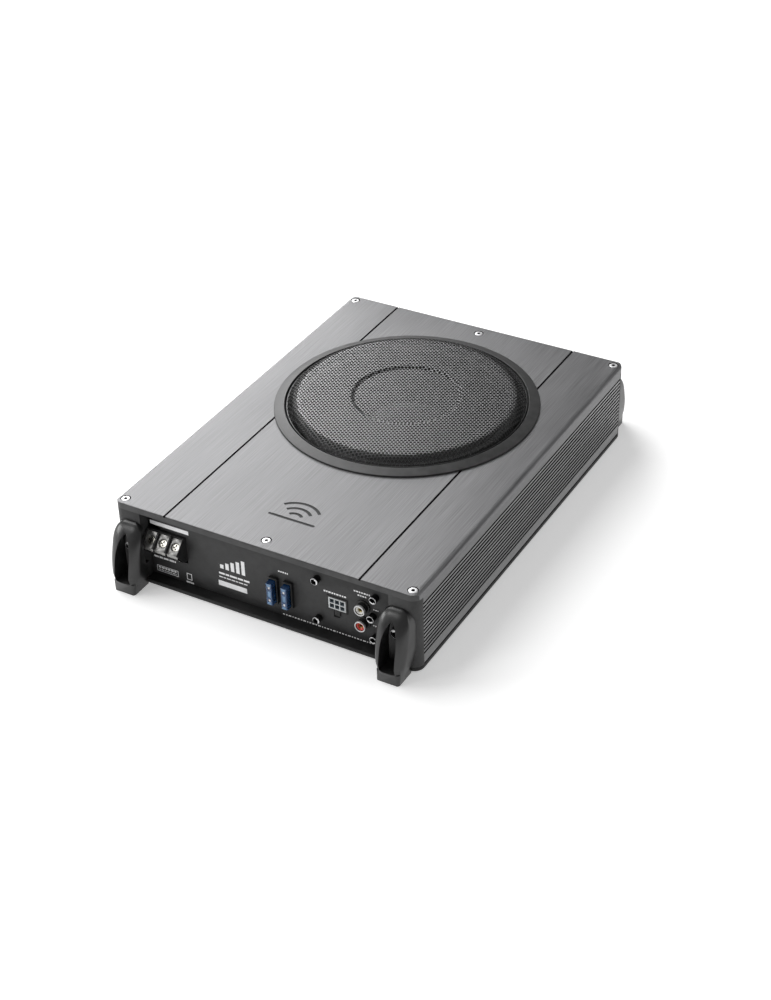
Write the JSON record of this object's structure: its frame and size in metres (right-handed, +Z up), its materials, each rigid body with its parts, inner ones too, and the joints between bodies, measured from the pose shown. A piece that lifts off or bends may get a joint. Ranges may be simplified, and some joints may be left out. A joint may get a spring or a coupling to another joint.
{
  "type": "powered car subwoofer",
  "caption": "Flat under-seat powered subwoofer: a finned metal case on corner feet, with a domed round grille over the driver and a recessed panel of wire terminals, fuses and sockets.",
  "frame": {"origin": "on the floor, under the middle of the case and its feet", "axes": "+Z up, -Y towards the end with the connectors, +X to the right when facing +Y"},
  "size_m": [0.25, 0.3828, 0.0749],
  "materials": {
    "lid": "brushed, dark anodised",
    "fins": "anodised extrusion",
    "charcoal_coat": "matte powder coat",
    "panel_print": "matte with white print",
    "ring_coat": "satin",
    "grille_steel": "perforated sheet, satin",
    "foot_plastic": "satin",
    "black_screw": "blackened",
    "bright_screw": "bright plated",
    "socket_plastic": "satin",
    "nickel": "nickel plated",
    "copper": "copper",
    "fuse_blue": "translucent",
    "white_plastic": "moulded",
    "red_plastic": "moulded",
    "knob_plastic": "satin",
    "circuit_board": "coated",
    "foam": "closed-cell foam",
    "basket_coat": "black",
    "plated_iron": "zinc plated",
    "ferrite": "raw",
    "spider_cloth": "resin-set cloth",
    "cone_paper": "pressed fibre",
    "surround_rubber": "matte",
    "capacitor_sleeve": "shrink sleeve",
    "wire_rubber": "matte"
  },
  "bodies": {
    "case": {"top_plate": "lid", "side_extrusion_left": "fins", "side_extrusion_right": "fins", "bottom_plate": "charcoal_coat", "front_end_cap": "charcoal_coat", "rear_end_cap": "charcoal_coat", "front_panel": "panel_print", "rear_panel": "panel_print", "trim_ring": "ring_coat", "grille": "grille_steel", "foot_front_left": "foot_plastic", "foot_front_right": "foot_plastic", "foot_rear_left": "foot_plastic", "foot_rear_right": "foot_plastic", "foot_screw_front_left": "black_screw", "foot_screw_front_right": "black_screw", "foot_screw_rear_left": "black_screw", "foot_screw_rear_right": "black_screw", "lid_screw_1": "bright_screw", "lid_screw_2": "bright_screw", "lid_screw_3": "bright_screw", "lid_screw_4": "bright_screw", "lid_screw_5": "bright_screw", "lid_screw_6": "bright_screw", "terminal_housing": "socket_plastic", "fuse_holder": "socket_plastic", "remote_socket": "socket_plastic", "terminal_clamp_1": "nickel", "terminal_clamp_2": "nickel", "terminal_clamp_3": "nickel", "rca_block": "nickel", "toroid": "copper", "high_level_socket": "white_plastic", "rca_insert_white": "white_plastic", "rca_insert_red": "red_plastic", "control_board": "circuit_board", "amplifier_board": "circuit_board", "driver_gasket": "foam", "driver_basket": "basket_coat", "front_pole_plate": "plated_iron", "yoke": "plated_iron", "magnet": "ferrite", "spider": "spider_cloth", "surround": "surround_rubber", "capacitor": "capacitor_sleeve", "speaker_lead": "wire_rubber"},
    "cone": {"cone": "cone_paper", "dust_cap": "cone_paper", "voice_coil": "copper"},
    "fuse_left": {"fuse_left": "fuse_blue"},
    "fuse_right": {"fuse_right": "fuse_blue"},
    "level_knob": {"level_knob": "knob_plastic"},
    "lowpass_knob": {"lowpass_knob": "knob_plastic"},
    "phase_switch": {"phase_switch": "knob_plastic"},
    "terminal_pad_1": {"terminal_pad_1": "copper"},
    "terminal_screw_1": {"terminal_screw_1": "nickel"},
    "terminal_pad_2": {"terminal_pad_2": "copper"},
    "terminal_screw_2": {"terminal_screw_2": "nickel"},
    "terminal_pad_3": {"terminal_pad_3": "copper"},
    "terminal_screw_3": {"terminal_screw_3": "nickel"}
  },
  "joints": [
    {"name": "cone_stroke", "type": "slide", "parent": "case", "child": "cone", "axis": [0, 0, 1], "range_m": [-0.006, 0.006], "stiffness_N_per_m": 3000, "deforming": ["surround", "spider"]},
    {"name": "fuse_left_pull", "type": "slide", "parent": "case", "child": "fuse_left", "axis": [0, -1, 0], "range_m": [0, 0.02]},
    {"name": "fuse_right_pull", "type": "slide", "parent": "case", "child": "fuse_right", "axis": [0, -1, 0], "range_m": [0, 0.02]},
    {"name": "level_turn", "type": "hinge", "parent": "case", "child": "level_knob", "pos_m": [0.062, 0.165, 0.033], "axis": [0, 1, 0], "range_deg": [-150, 150]},
    {"name": "lowpass_turn", "type": "hinge", "parent": "case", "child": "lowpass_knob", "pos_m": [0.03, 0.165, 0.033], "axis": [0, 1, 0], "range_deg": [-150, 150]},
    {"name": "phase_slide", "type": "slide", "parent": "case", "child": "phase_switch", "axis": [1, 0, 0], "range_m": [0, 0.004]},
    {"name": "terminal_1_advance", "type": "slide", "parent": "case", "child": "terminal_pad_1", "axis": [0, 0.7071, -0.7071], "range_m": [0, 0.004]},
    {"name": "terminal_1_turn", "type": "hinge", "parent": "terminal_pad_1", "child": "terminal_screw_1", "pos_m": [-0.0966, -0.1691, 0.0396], "axis": [0, 0.7071, -0.7071], "range_deg": [0, 1441]},
    {"name": "terminal_2_advance", "type": "slide", "parent": "case", "child": "terminal_pad_2", "axis": [0, 0.7071, -0.7071], "range_m": [0, 0.004]},
    {"name": "terminal_2_turn", "type": "hinge", "parent": "terminal_pad_2", "child": "terminal_screw_2", "pos_m": [-0.08585, -0.1691, 0.0396], "axis": [0, 0.7071, -0.7071], "range_deg": [0, 1441]},
    {"name": "terminal_3_advance", "type": "slide", "parent": "case", "child": "terminal_pad_3", "axis": [0, 0.7071, -0.7071], "range_m": [0, 0.004]},
    {"name": "terminal_3_turn", "type": "hinge", "parent": "terminal_pad_3", "child": "terminal_screw_3", "pos_m": [-0.0751, -0.1691, 0.0396], "axis": [0, 0.7071, -0.7071], "range_deg": [0, 1441]}
  ],
  "couplings": [
    {"joint": "terminal_1_turn", "follows": "terminal_1_advance", "rad_per_m": 6283.2},
    {"joint": "terminal_2_turn", "follows": "terminal_2_advance", "rad_per_m": 6283.2},
    {"joint": "terminal_3_turn", "follows": "terminal_3_advance", "rad_per_m": 6283.2}
  ]
}
